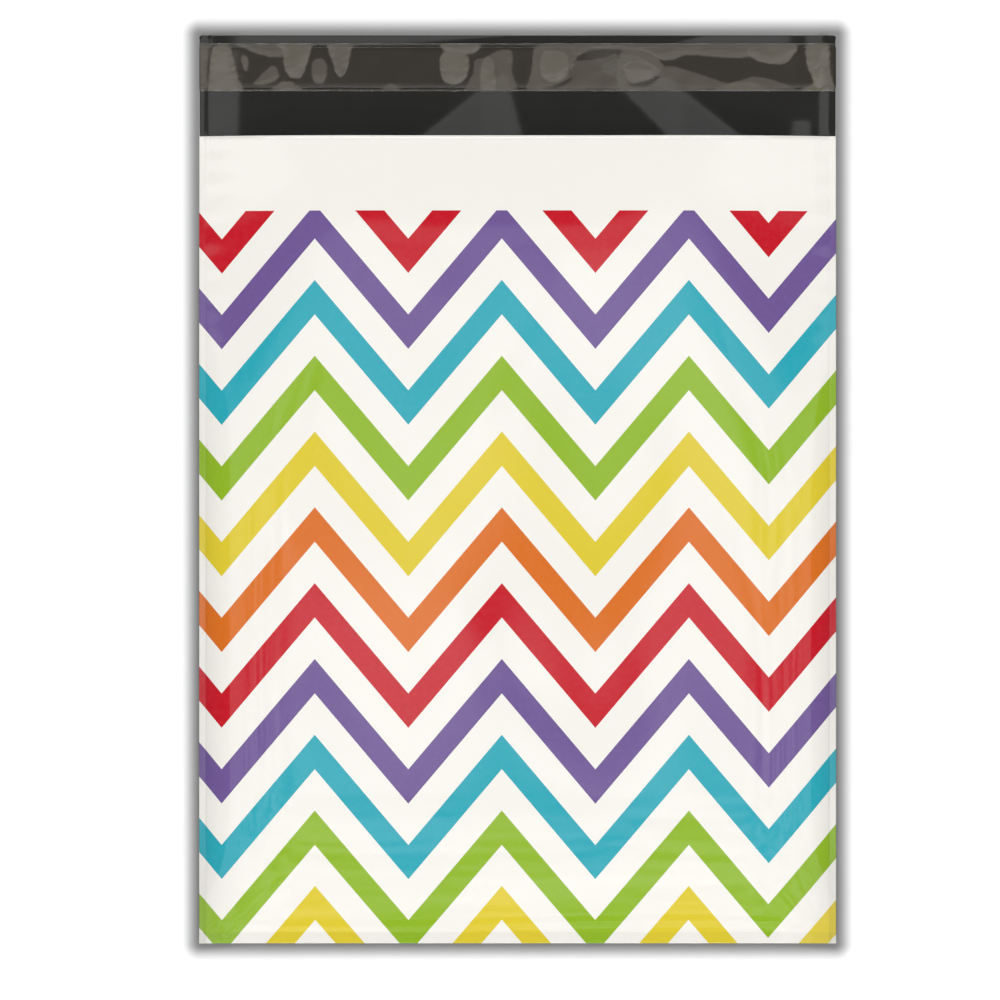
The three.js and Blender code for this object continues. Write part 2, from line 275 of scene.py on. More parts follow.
def flap_waves(x, d):
    """Height in mm of the flap at a distance d from the mouth, from the table of its tips."""
    x, d = np.broadcast_arrays(np.asarray(x, float), np.asarray(d, float))
    i = np.clip((x + HALF_WIDTH) / WAVE_STEP, 0, len(wave_x) - 1.001)
    j = np.clip(d / WAVE_STEP, 0, len(wave_d) - 1.001)
    i0, j0 = i.astype(int), j.astype(int)
    a, b = i - i0, j - j0
    top = wave_height[i0, j0] * (1 - a) + wave_height[i0 + 1, j0] * a
    low = wave_height[i0, j0 + 1] * (1 - a) + wave_height[i0 + 1, j0 + 1] * a
    return top * (1 - b) + low * b


def mouth_lift(x, y):
    """Height in mm by which the back panel rises inside the pocket, up to the root of the flap."""
    return flap_waves(x, 0) * smooth(y, MOUTH_Y - 40, MOUTH_Y)


# %% Where each place of the web lies
# The heat line is a shallow groove beside each weld, and the corners are those of the flap.
HEAT_LINE, HEAT_LINE_WIDTH = 0.035, 0.35
CORNER = 1.2


def lie(x, w, outward):
    """(x, y, z) in mm of web places, on the black face (outward 0) or a thickness outside it."""
    middle, radius = fold_middle(x), fold_radius(x)
    heat_line = HEAT_LINE * np.exp(-(((np.abs(x) - WELD_X) / HEAT_LINE_WIDTH) ** 2))
    front_y = MOUTH_Y + (middle - MOUTH_Y) * w / FRONT_LENGTH
    front_z = side_lift(x, front_y) + FILM_THICKNESS + pocket_gap(x, front_y) + outward
    front_z = front_z + front_waves(x, w) - heat_line
    front_z = front_z + mouth_lift(x, front_y) * (1 - open_share(x))
    turn = math.pi * np.clip((w - FOLD_START) / (FOLD_END - FOLD_START), 0, 1)
    fold_y = middle - (radius + outward) * np.sin(turn)
    fold_z = side_lift(x, middle) + FILM_THICKNESS + radius + (radius + outward) * np.cos(turn)
    under_y = middle + (MOUTH_Y - middle) * (w - FOLD_END) / FRONT_LENGTH
    back_y = np.where(w < FLAP_START, under_y, MOUTH_Y + w - FLAP_START)
    back_z = side_lift(x, back_y) + FILM_THICKNESS - outward
    past_mouth = np.clip(back_y - MOUTH_Y, 0, None)
    on_table = np.where(back_y > MOUTH_Y, flap_waves(x, past_mouth), mouth_lift(x, back_y))
    back_z = back_z + on_table + heat_line * (past_mouth > 0)
    y = np.where(w <= FOLD_START, front_y, np.where(w < FOLD_END, fold_y, back_y))
    z = np.where(w <= FOLD_START, front_z, np.where(w < FOLD_END, fold_z, back_z))
    from_lip = np.clip(CORNER - (LIP - w), 0, CORNER)
    drawn_in = CORNER - np.sqrt(CORNER**2 - from_lip**2)
    x = np.sign(x) * (np.abs(x) - drawn_in * smooth(np.abs(x), WELD_X - 4, HALF_WIDTH))
    return np.stack(np.broadcast_arrays(x, y, z), axis=-1)


# %% [markdown]
# ## The film as a mesh
#
# A plane with a Solidify modifier would give the film its thickness, but its fold is only half a
# millimetre across, and there the modifier would cross its own walls. Both faces are therefore
# laid out from the rule, as two grids that share their rows and columns, and narrow walls close
# them along the cut edges. The grid is finer where the film bends more: in the fold, by the
# welds and on the flap. Each corner stores its place on the web in a UV map.


# %% Closed sheets from two grids
def sheet_mesh(name, top, bottom, place):
    """A closed mesh between two grids of points in mm, whose UV map keeps each place in metres."""
    rows, columns = top.shape[:2]
    points = np.concatenate([top.reshape(-1, 3), bottom.reshape(-1, 3)]) / 1000
    number = np.arange(rows * columns).reshape(rows, columns)
    below = number + rows * columns

    def quads(grid):
        return np.stack([grid[:-1, :-1], grid[1:, :-1], grid[1:, 1:], grid[:-1, 1:]], -1).reshape(-1, 4)

    def wall(upper, lower):
        return np.stack([upper[:-1], lower[:-1], lower[1:], upper[1:]], -1)

    walls = np.concatenate([
        wall(number[:, 0], below[:, 0]),
        wall(number[:, -1], below[:, -1])[:, ::-1],
        wall(number[0], below[0])[:, ::-1],
        wall(number[-1], below[-1]),
    ])
    faces = np.concatenate([quads(number), quads(below)[:, ::-1], walls])
    mesh = bpy.data.meshes.new(name)
    mesh.from_pydata(points.tolist(), [], faces.tolist())
    panel = (rows - 1) * (columns - 1)
    kinds = np.repeat([0, 1, 2], [panel, panel, len(walls)])  # top, bottom, cut edge
    mesh.polygons.foreach_set("material_index", kinds.astype(np.int32))
    mesh.polygons.foreach_set("use_smooth", kinds < 2)
    web = mesh.uv_layers.new(name="web")
    places = np.tile(place.reshape(-1, 2), (2, 1)) / 1000
    web.data.foreach_set("uv", places[faces.ravel()].ravel())
    mesh.validate()
    return mesh


def new_piece(name, mesh, *materials):
    piece = bpy.data.objects.new(name, mesh)
    bpy.context.collection.objects.link(piece)
    for material in materials:
        mesh.materials.append(material)
    print(name, "has", sum(len(p.vertices) - 2 for p in mesh.polygons), "triangles")
    return piece


# %% Rows and columns of the film
def steps(*stops):
    """Values through the stops, where every second number is the step wanted up to the next."""
    values = [stops[0]]
    for start, step, end in zip(stops[:-1:2], stops[1::2], stops[2::2]):
        values += list(np.linspace(start, end, max(2, round(abs(end - start) / step) + 1))[1:])
    return np.array(values)


half = steps(0, 2.1, 112, 1.2, 121, 0.5, 123.4, 0.25, 125.6, 0.45, HALF_WIDTH)
film_x = np.concatenate([-half[:0:-1], half])
film_w = steps(0, 1.8, 306, 1.0, FOLD_START, 0.13, FOLD_END, 1.5, FOLD_END + 10, 4.5, FLAP_START,
               1.1, LIP - 1.5, 0.3, LIP)
grid_x, grid_w = np.meshgrid(film_x, film_w)
outside = lie(grid_x, grid_w, FILM_THICKNESS)
inside = lie(grid_x, grid_w, 0)
film_mesh = sheet_mesh("film", outside, inside, np.stack([grid_x, grid_w], -1))
print("film grid", grid_x.shape)

# %% [markdown]
# ## Nodes in a few words
#
# A material is a small sum that Blender works out for every point of the surface. Written out
# node by node it gets long, so a few helpers keep it readable: they add a node and fill its
# inputs, do a step of arithmetic, stretch a range onto another, blend two colours, and start and
# fill a finish.


# %% Helpers for node trees
def add(tree, kind, inputs=None, **settings):
    """Adds a node. Each input is a number or a colour, or the output it is linked to."""
    made = tree.nodes.new(kind)
    for key, value in settings.items():
        setattr(made, key, value)
    for key, value in (inputs or {}).items():
        if isinstance(value, bpy.types.NodeSocket):
            tree.links.new(value, made.inputs[key])
        else:
            made.inputs[key].default_value = value
    return made


def sum_of(tree, operation, *terms):
    return add(tree, "ShaderNodeMath", dict(enumerate(terms)), operation=operation).outputs[0]


def rescale(tree, value, start, end, low, high, **settings):
    """Low up to the start, high past the end, and in between a slope from one to the other."""
    limits = {"Value": value, 1: start, 2: end, 3: low, 4: high}
    return add(tree, "ShaderNodeMapRange", limits, **settings).outputs[0]


def blend(tree, share, first, second):
    """A colour between two, from the first at 0 to the second at 1."""
    mix = add(tree, "ShaderNodeMix", {"Factor": share}, data_type="RGBA")
    for socket, value in ((mix.inputs[6], first), (mix.inputs[7], second)):
        if isinstance(value, bpy.types.NodeSocket):
            tree.links.new(value, socket)
        else:
            socket.default_value = value
    return mix.outputs[2]


def new_finish(name):
    """A material with its tree, and its Principled shader ready to be filled."""
    material = bpy.data.materials.new(name)
    material.use_nodes = True
    tree = material.node_tree
    return material, tree, tree.nodes["Principled BSDF"]


def fill(shader, **values):
    """Sets or links inputs of a shader; an underscore in a key stands for a space."""
    for key, value in values.items():
        socket = shader.inputs[key.replace("_", " ")]
        if isinstance(value, bpy.types.NodeSocket):
            shader.id_data.links.new(value, socket)
        else:
            socket.default_value = value


# %% [markdown]
# ## The printed zigzag
#
# The bands could be modelled as strips or painted in an image. Neither stays sharp up close, so
# they are drawn by arithmetic on the web map. A ping-pong step turns x into a zigzag height.
# Added to w and divided by the spacing of the bands, its whole part says which band a point is
# in and its fraction how far down, and a ramp with hard steps hands out the six inks. The ink
# stops a little below the mouth, where the film stays bare.

# %% Bands and inks
# Lengths are in metres of the web. A valley's place is its x.
BARE_BAND = 0.030
BAND_HEIGHT = 0.0137
BAND_SPACING = 0.03018
FIRST_BAND = -0.0027
ZIGZAG_SLOPE = 1.182
HALF_WAVE = 0.0372
FIRST_VALLEY = -0.1179
LAST_VALLEY = 0.0999
INKS = [
    (0.562, 0.0035, 0.016),
    (0.160, 0.094, 0.300),
    (0.019, 0.388, 0.478),
    (0.278, 0.474, 0.016),
    (0.738, 0.590, 0.030),
    (0.705, 0.160, 0.010),
]


def zigzag_bands(tree):
    """Which band a point is in, and whether it has ink, from the web map."""
    web = add(tree, "ShaderNodeUVMap", uv_map="web").outputs[0]
    place = add(tree, "ShaderNodeSeparateXYZ", {0: web}).outputs
    x, w = place[0], place[1]
    height = sum_of(tree, "PINGPONG", sum_of(tree, "SUBTRACT", x, FIRST_VALLEY), HALF_WAVE)
    early = (LAST_VALLEY - FIRST_VALLEY) % (2 * HALF_WAVE)
    rise = 2 * HALF_WAVE - early if early > HALF_WAVE else early
    # The last valley comes early. Past it the bands climb on a line of their own.
    last = sum_of(tree, "SUBTRACT", x, LAST_VALLEY - rise)
    height = sum_of(tree, "MAXIMUM", height, last)
    start = FIRST_BAND + HALF_WAVE * ZIGZAG_SLOPE
    down = sum_of(tree, "MULTIPLY_ADD", height, ZIGZAG_SLOPE, sum_of(tree, "SUBTRACT", w, start))
    down = sum_of(tree, "DIVIDE", down, BAND_SPACING)
    number = sum_of(tree, "FLOORED_MODULO", sum_of(tree, "FLOOR", down), len(INKS))
    in_band = sum_of(tree, "LESS_THAN", sum_of(tree, "FRACT", down), BAND_HEIGHT / BAND_SPACING)
    has_ink = sum_of(tree, "MULTIPLY", in_band, sum_of(tree, "GREATER_THAN", w, BARE_BAND))
    return web, number, has_ink


def ink_ramp(tree, number):
    """The colour of a numbered band."""
    share = sum_of(tree, "DIVIDE", sum_of(tree, "ADD", number, 0.5), len(INKS))
    ramp = add(tree, "ShaderNodeValToRGB", {"Fac": share})
    ramp.color_ramp.interpolation = "CONSTANT"
    stops = ramp.color_ramp.elements
    while len(stops) < len(INKS):
        stops.new(1)
    for i, ink in enumerate(INKS):
        stops[i].position = i / len(INKS)
        stops[i].color = (*ink, 1)
    return ramp.outputs[0]


# %% [markdown]
# ## White film, printed
#
# The film is blown as a tube and wound up fast, so it carries faint lines along the way it ran, and its
# gloss is a little uneven, like the skin of an orange. Ink lies on it as a coat a few microns thick:
# slightly mottled, and a touch less glossy than the bare film. Bump nodes give the lines and the skin,
# and one Principled shader carries film and ink together. A few hundredths of black go into the colour
# as painted shade: over the sloping shoulders beside the welds, more further down the bag, in the two
# corners by the fold and in a band along the fold, where the tilted or turning film would get less
# light. The flat weld band at each side is darkened most.

# %% Colour of ink and bare film
WHITE = (0.910, 0.890, 0.832, 1)
CLOUDED = (0.62, 0.61, 0.58, 1)
printed, tree, shader = new_finish("printed film")
web, number, has_ink = zigzag_bands(tree)
mottle = add(tree, "ShaderNodeTexNoise", {"Vector": web, "Scale": 420, "Detail": 3}).outputs[0]
cloud = add(tree, "ShaderNodeTexNoise", {"Vector": web, "Scale": 26, "Detail": 2}).outputs[0]
thin = sum_of(tree, "MULTIPLY", sum_of(tree, "SUBTRACT", mottle, 0.4), 0.03)
ink = blend(tree, thin, ink_ramp(tree, number), WHITE)
bare = blend(tree, sum_of(tree, "MULTIPLY", cloud, 0.035), WHITE, CLOUDED)
plain = blend(tree, has_ink, bare, ink)

# %% Skin and gloss of the printed film
run = add(tree, "ShaderNodeMapping", {"Vector": web, "Scale": (6, 2200, 1)}).outputs[0]
lines = add(tree, "ShaderNodeTexNoise", {"Vector": run, "Scale": 1, "Detail": 2}).outputs[0]
skin = add(tree, "ShaderNodeTexNoise", {"Vector": web, "Scale": 150, "Detail": 2}).outputs[0]
relief = sum_of(tree, "MULTIPLY_ADD", lines, 0.03, skin)
relief = sum_of(tree, "MULTIPLY_ADD", has_ink, 0.15, relief)
bump = add(tree, "ShaderNodeBump", {"Height": relief, "Strength": 0.35, "Distance": 0.00002})
gloss = sum_of(tree, "MULTIPLY_ADD", has_ink, 0.01, 0.045)
gloss = sum_of(tree, "MULTIPLY_ADD", mottle, 0.02, gloss)

# %% Painted shade beside the welds, in the corners and along the fold
# Painted shade: black mixed into the colour darkens the sloping shoulders by the welds (more further
# down the bag), the two corners by the fold and a band along the fold. It stands for the light that the
# tilted or turning film would lose. The weld band itself is darkened most.
WELD_SHADE, WELD_SOFTNESS = 0.11, 0.0006
SHOULDER_PAINTED_SHADE, SHOULDER_SHADE_WIDTH = 0.06, 0.009
CORNER_PAINTED_SHADE, CORNER_INNER, CORNER_OUTER = 0.06, 0.022, 0.003
FOLD_PAINTED_SHADE, FOLD_SHADE_WIDTH = 0.075, 0.0045
place = add(tree, "ShaderNodeSeparateXYZ", {0: web}).outputs
from_middle = sum_of(tree, "ABSOLUTE", place[0])
edge = WELD_X / 1000
welded = rescale(tree, from_middle, edge - WELD_SOFTNESS, edge, 0.0, WELD_SHADE)
shoulder_painted_shade = rescale(tree, from_middle, edge - SHOULDER_SHADE_WIDTH, edge, 0.0, SHOULDER_PAINTED_SHADE,
                interpolation_type="SMOOTHSTEP")
from_fold = sum_of(tree, "SUBTRACT", place[1], (FOLD_START + FOLD_END) / 2000)
from_fold = sum_of(tree, "ABSOLUTE", from_fold)
shade_down_the_bag = rescale(tree, place[1], 0.0, 0.17, 0.1, 1.0)
side_painted_shade = sum_of(tree, "MULTIPLY", sum_of(tree, "ADD", welded, shoulder_painted_shade), shade_down_the_bag)
corner = rescale(tree, from_middle, edge - CORNER_INNER, edge - CORNER_OUTER, 0.0, CORNER_PAINTED_SHADE,
                 interpolation_type="SMOOTHSTEP")
low = rescale(tree, from_fold, 0.022, 0.050, 1.0, 0.0, interpolation_type="SMOOTHSTEP")
corner_painted_shade = sum_of(tree, "MULTIPLY", corner, low)
fold_painted_shade = rescale(tree, from_fold, FOLD_SHADE_WIDTH, FOLD_SHADE_WIDTH + 0.0005, FOLD_PAINTED_SHADE, 0.0)
# Painted shade: this sum is the share of black mixed into the film's colour.
painted_shade_share = sum_of(tree, "ADD", sum_of(tree, "ADD", side_painted_shade, corner_painted_shade), fold_painted_shade)
colour = blend(tree, painted_shade_share, plain, (0.03, 0.03, 0.03, 1))
print("the web is greyer within", FOLD_SHADE_WIDTH * 1000, "mm of its fold")
fill(shader, Base_Color=colour, Roughness=gloss, IOR=1.44, Normal=bump.outputs[0])

# %% [markdown]
# ## Black film
#
# The inside layer has carbon black in it, so nothing shows through the bag. It takes no print
# and stays a plain glossy black, on which the lamp's patches show far more than on the white.
# Its colour varies only by the thin haze that handling leaves on such film.

# %% Black inside of the film
black, tree, shader = new_finish("black film")
web = add(tree, "ShaderNodeUVMap", uv_map="web").outputs[0]
haze = add(tree, "ShaderNodeTexNoise", {"Vector": web, "Scale": 35, "Detail": 4}).outputs[0]
skin = add(tree, "ShaderNodeTexNoise", {"Vector": web, "Scale": 170, "Detail": 2}).outputs[0]
bump = add(tree, "ShaderNodeBump", {"Height": skin, "Strength": 0.4, "Distance": 0.00002})
colour = blend(tree, haze, (0.0105, 0.0104, 0.0092, 1), (0.0165, 0.0162, 0.0146, 1))
fill(shader, Base_Color=colour, IOR=1.5, Normal=bump.outputs[0],
     Roughness=sum_of(tree, "MULTIPLY_ADD", haze, 0.03, 0.05))

# %% Cut edge, and the film put together
cut_edge, tree, shader = new_finish("cut edge")
grain = add(tree, "ShaderNodeTexNoise", {"Scale": 900, "Detail": 2}).outputs[0]
colour = blend(tree, grain, (0.20, 0.195, 0.18, 1), (0.42, 0.41, 0.38, 1))
fill(shader, Base_Color=colour, Roughness=0.35, IOR=1.5)

film = new_piece("mailer_bag_film", film_mesh, printed, black, cut_edge)

# %% [markdown]
# ## The bead along the welds
#
# A hot wire cuts the bag from the web and melts its two layers together in the same stroke. The
# melt draws back into a fine bead, never quite even, all the way along both sides. It follows a
# path, which is what Geometry Nodes do well: a line runs along the edge, noise swells it, and a
# circle swept along it makes the bead. The sizes are inputs of the tree, so they can be changed
# without touching a vertex.

# %% Tree for the bead
BEAD_SIZES = {"Step": 0.0011, "Swelling": 0.35, "Swelling Scale": 260.0}
BEAD_SIDES = 8


def bead_tree(material):
    """A tree that sweeps a bead along each line of a mesh, and the identifiers of its inputs."""
    tree = bpy.data.node_groups.new("weld bead", "GeometryNodeTree")
    face = tree.interface
    face.new_socket("Geometry", in_out="INPUT", socket_type="NodeSocketGeometry")
    sockets = {}
    for label, value in BEAD_SIZES.items():
        made = face.new_socket(label, in_out="INPUT", socket_type="NodeSocketFloat")
        made.default_value = value
        sockets[label] = made.identifier
    made = face.new_socket("Sides", in_out="INPUT", socket_type="NodeSocketInt")
    made.default_value = BEAD_SIDES
    sockets["Sides"] = made.identifier
    face.new_socket("Geometry", in_out="OUTPUT", socket_type="NodeSocketGeometry")
    given = add(tree, "NodeGroupInput").outputs
    path = add(tree, "GeometryNodeMeshToCurve", {"Mesh": given["Geometry"]}).outputs[0]
    path = add(tree, "GeometryNodeResampleCurve", {"Curve": path, "Length": given["Step"]},
               mode="LENGTH")
    stored = add(tree, "GeometryNodeInputNamedAttribute", {"Name": "bead"}, data_type="FLOAT")
    spot = add(tree, "GeometryNodeInputPosition").outputs[0]
    noise = add(tree, "ShaderNodeTexNoise", {"Vector": spot, "Scale": given["Swelling Scale"]})
    swell = sum_of(tree, "MULTIPLY", sum_of(tree, "SUBTRACT", noise.outputs[0], 0.5), given["Swelling"])
    radius = sum_of(tree, "MULTIPLY_ADD", stored.outputs[0], swell, stored.outputs[0])
    thick = add(tree, "GeometryNodeSetCurveRadius", {"Curve": path.outputs[0], "Radius": radius})
    ring = add(tree, "GeometryNodeCurvePrimitiveCircle", {"Radius": 1.0, "Resolution": given["Sides"]})
    outline = {"Curve": thick.outputs[0], "Profile Curve": ring.outputs[0], "Fill Caps": True}
    swept = add(tree, "GeometryNodeCurveToMesh", outline)
    if "Scale" in swept.inputs:
        tree.links.new(radius, swept.inputs["Scale"])
    soft = add(tree, "GeometryNodeSetShadeSmooth", {0: swept.outputs[0]}).outputs[0]
    real = add(tree, "GeometryNodeRealizeInstances", {0: soft}).outputs[0]
    done = add(tree, "GeometryNodeSetMaterial", {"Geometry": real, "Material": material}).outputs[0]
    add(tree, "NodeGroupOutput", {"Geometry": done})
    return tree, sockets


# %% Finish of the bead
melt, tree, shader = new_finish("melted film")
place = add(tree, "ShaderNodeTexCoord").outputs["Object"]
grain = add(tree, "ShaderNodeTexNoise", {"Vector": place, "Scale": 700, "Detail": 3}).outputs[0]
bump = add(tree, "ShaderNodeBump", {"Height": grain, "Strength": 0.3, "Distance": 0.00003})
colour = blend(tree, grain, (0.52, 0.51, 0.47, 1), (0.80, 0.79, 0.74, 1))
fill(shader, Base_Color=colour, Roughness=0.22, IOR=1.5, Normal=bump.outputs[0])

# %% Beads along both sides
BEAD_RADIUS = 0.105
FLAP_BEAD_RADIUS = 0.055
BEAD_INSET = 0.06
edge_w = steps(FOLD_START, 4, FLAP_START, 1.2, LIP - 1.6)
flap_share = smooth(edge_w, FLAP_START - 2, FLAP_START + 4)
radius = BEAD_RADIUS + (FLAP_BEAD_RADIUS - BEAD_RADIUS) * flap_share
sides = []
for side in (-1, 1):
    spots = lie(np.full_like(edge_w, side * HALF_WIDTH), edge_w, 0)
    spots[:, 2] += (WELD_CORE / 2) * (1 - flap_share) - FILM_THICKNESS / 6 * flap_share
    spots[:, 0] -= side * BEAD_INSET
    sides.append(spots / 1000)
count = len(edge_w)
path = bpy.data.meshes.new("weld path")
links = [(i, i + 1) for i in range(2 * count - 1) if i != count - 1]
path.from_pydata(np.concatenate(sides).tolist(), links, [])
stored = path.attributes.new("bead", "FLOAT", "POINT")
stored.data.foreach_set("value", np.tile(radius, 2) / 1000)
guide = bpy.data.objects.new("weld path", path)
bpy.context.collection.objects.link(guide)

# %% Grow the beads
tree, sockets = bead_tree(melt)
modifier = guide.modifiers.new("bead", "NODES")
modifier.node_group = tree
for label, value in BEAD_SIZES.items():
    modifier[sockets[label]] = value
modifier[sockets["Sides"]] = BEAD_SIDES
ready = guide.evaluated_get(bpy.context.evaluated_depsgraph_get())
bead_mesh = bpy.data.meshes.new_from_object(ready)
bpy.data.objects.remove(guide)
bead = bpy.data.objects.new("weld_bead", bead_mesh)
bpy.context.collection.objects.link(bead)
print("bead has", len(bead_mesh.polygons), "faces")

# %% [markdown]
# ## The glue line
#
# Hot-melt glue is laid on the flap as one wide, thin line that never dries. It is clear with a
# tint of brown, so over black film it reads as a warm, wet dark grey. It is a closed sheet that
# follows the waves of the flap, with its two long edges thinner, as those of a drawn line are.

# %% Glue on the flap
LINER_FROM_LIP = 3.2
LINER_HEIGHT = 19.1
GLUE_INSET = 1.5
GLUE_THICKNESS = 0.1
GLUE_TAPER = 0.8
GLUE_EDGE = 0.35


def on_flap(x, from_lip, height):
    """(x, y, z) in mm over the black face of the flap, at a distance down from its lip."""
    spots = lie(x, LIP - from_lip, 0)
    return np.stack([x, spots[..., 1], spots[..., 2] + height], -1)


glue_x = steps(-HALF_WIDTH, 1.5, HALF_WIDTH)
glue_top, glue_end = LINER_FROM_LIP + GLUE_INSET, LINER_FROM_LIP + LINER_HEIGHT - GLUE_INSET
glue_down = steps(glue_end, 0.2, glue_end - GLUE_TAPER, 1.2, glue_top + GLUE_TAPER, 0.2, glue_top)
gx, gd = np.meshgrid(glue_x, glue_down)
fullness = np.clip(np.minimum(gd - glue_top, glue_end - gd) / GLUE_TAPER, 0, 1)
upper = on_flap(gx, gd, GLUE_THICKNESS * (GLUE_EDGE + (1 - GLUE_EDGE) * fullness**0.5))
lower = on_flap(gx, gd, 0 * gx)
glue_mesh = sheet_mesh("glue", upper[::-1], lower[::-1], np.stack([gx, gd], -1)[::-1])

# %% Finish of the glue
glue_finish, tree, shader = new_finish("tacky glue")
place = add(tree, "ShaderNodeTexCoord").outputs["Object"]
cloud = add(tree, "ShaderNodeTexNoise", {"Vector": place, "Scale": 90, "Detail": 4}).outputs[0]
stretch = add(tree, "ShaderNodeMapping", {"Vector": place, "Scale": (40, 900, 1)}).outputs[0]
streaks = add(tree, "ShaderNodeTexNoise", {"Vector": stretch, "Scale": 1, "Detail": 3}).outputs[0]
bump = add(tree, "ShaderNodeBump", {"Height": streaks, "Strength": 0.25, "Distance": 0.00003})
colour = blend(tree, cloud, (0.017, 0.0135, 0.0085, 1), (0.028, 0.023, 0.0155, 1))
fill(shader, Base_Color=colour, Roughness=0.12, IOR=1.48, Normal=bump.outputs[0])
glue = new_piece("glue_line", glue_mesh, glue_finish, glue_finish, glue_finish)

# %% [markdown]
# ## The clear strip over the glue
#
# The strip is clear film with a coat that glue hardly holds to. Where it touches the glue it wets
# through and goes dark. Where a bubble of air stays under it, two more faces would mirror the light and
# the spot looks pale. Here that paleness is put into the strip's colour and cover, partly as the dry
# strip's own haze and partly as painted reflection, and the rim lifts a little. The bubbles could be
# noise, but real ones have a habit: round domes, long ones that hang from an edge, and low bumps along
# the bottom. So each one is given as an outline with a few corners, which code then rounds.

# %% Bubbles under the strip
# Each is how pale it is painted, partly the strip's haze and partly painted reflection of the air gap,
# and its outline in mm from the left edge and down from the lip. A later one lies over an earlier one,
# and those of 0 are wet places inside a bubble.
BUBBLES = [
    (0.55, [(-0.6, 2.9), (3.6, 2.9), (4.6, 5.4), (3.2, 13.0), (3.0, 22.4), (-0.6, 22.4)]),
    (1.0, [(4.2, 22.6), (4.0, 13.0), (5.2, 5.6), (8.2, 3.4), (11.8, 4.2), (13.7, 9.6), (15.4, 16.3),
            (16.8, 22.6)]),
    (0.6, [(14.5, 2.8), (30.0, 2.5), (44.3, 2.8), (43.5, 6.7), (35.9, 6.7), (31.7, 8.8), (25.4, 8.0),
            (20.0, 6.1)]),
    (0.75, [(16.6, 8.8), (18.1, 7.8), (19.6, 9.6), (19.3, 13.4), (18.5, 14.2), (17.3, 12.6)]),
    (0.6, [(21.7, 19.3), (25.4, 15.1), (29.0, 12.1), (31.0, 13.4), (31.7, 16.3), (30.0, 18.4),
            (25.8, 19.7)]),
    (0.95, [(31.3, 2.9), (43.5, 2.9), (44.1, 7.1), (42.4, 13.0), (40.3, 17.0), (36.1, 16.5),
            (33.8, 12.1), (33.2, 7.1)]),
    (0.85, [(28.4, 22.9), (31.7, 19.3), (34.6, 18.2), (38.4, 19.5), (41.4, 22.9)]),
    (0.55, [(44.7, 14.2), (45.4, 10.1), (47.8, 9.2), (50.6, 10.9), (51.0, 15.1), (49.7, 18.7),
            (47.2, 19.3), (45.3, 17.6)]),
    (0.75, [(51.4, 2.8), (60.9, 2.8), (60.1, 8.0), (59.0, 13.4), (57.0, 16.5), (54.8, 15.7),
            (53.3, 11.3)]),
    (0.6, [(72.0, 22.9), (75.3, 19.7), (77.0, 19.2), (79.1, 20.5), (80.3, 22.9)]),
    (0.8, [(96.3, 2.8), (104.7, 2.3), (112.2, 2.8), (109.7, 7.1), (103.0, 7.8), (98.0, 6.3)]),
    (1.0, [(95.9, 10.5), (97.5, 6.6), (102.1, 6.7), (106.8, 8.0), (107.6, 13.0), (105.5, 18.2),
            (101.3, 19.7), (97.1, 17.6)]),
    (0.5, [(107.0, 22.9), (109.3, 14.7), (109.9, 10.1), (113.9, 8.8), (117.2, 7.1), (121.4, 5.6),
            (125.0, 7.1), (124.8, 14.7), (126.0, 22.9)]),
    (0.95, [(112.6, 22.9), (112.2, 13.0), (113.9, 8.8), (116.4, 8.8), (117.7, 13.0), (118.1, 22.9)]),
    (0.6, [(131.6, 23.8), (132.6, 13.5), (133.5, 5.7), (137.8, 3.0), (149.9, 2.7), (150.9, 9.2),
            (149.9, 17.0), (149.2, 23.8)]),
    (1.0, [(136.0, 9.2), (138.2, 6.6), (144.2, 6.8), (147.3, 9.2), (147.1, 15.7), (143.4, 18.9),
            (138.2, 18.3), (136.0, 14.8)]),
    (0.45, [(148.6, 23.8), (149.9, 10.1), (160.2, 9.2), (167.1, 8.3), (168.2, 23.8)]),
    (0.6, [(148.6, 2.5), (168.9, 2.7), (189.6, 2.5), (220.7, 2.7), (219.8, 8.3), (210.3, 9.0),
            (194.8, 7.9), (187.9, 10.1), (175.8, 8.3), (165.4, 5.7), (149.9, 8.3)]),
    (0.65, [(167.6, 7.5), (177.5, 5.9), (184.4, 10.9), (186.3, 17.0), (183.7, 23.8), (168.4, 23.8)]),
    (0.85, [(168.9, 13.5), (172.3, 10.5), (177.5, 10.9), (182.7, 14.0), (179.2, 17.9), (172.3, 19.2)]),
    (0.5, [(183.1, 23.8), (185.7, 12.7), (195.6, 14.2), (204.3, 17.0), (212.0, 19.2), (219.8, 16.6),
            (227.6, 17.4), (237.9, 21.3), (238.4, 23.8)]),
    (0.0, [(150.3, 9.6), (155.0, 6.1), (164.5, 5.6), (166.3, 7.0), (160.2, 9.0), (154.2, 10.1)]),
    (0.0, [(171.0, 19.2), (176.6, 18.6), (183.7, 16.1), (181.4, 18.9), (175.8, 20.6)]),
    (0.0, [(138.6, 20.6), (143.8, 18.9), (148.7, 16.6), (147.4, 19.1), (142.5, 21.2)]),
    (0.8, [(218.3, 6.2), (222.4, 3.1), (237.8, 3.0), (236.9, 8.3), (232.8, 11.4), (225.9, 11.1),
            (220.7, 9.2)]),
    (0.9, [(206.0, 23.8), (210.3, 19.6), (217.2, 18.3), (223.3, 19.8), (226.7, 23.8)]),
    (0.95, [(242.6, 3.1), (250.7, 3.0), (251.6, 13.5), (252.5, 23.8), (236.2, 23.9), (244.9, 19.1),
            (243.1, 14.0), (242.1, 9.2)]),
    (1.3, [(244.4, 14.0), (248.1, 12.7), (249.3, 19.6), (245.9, 21.3)]),
]
print(len(BUBBLES), "outlines")


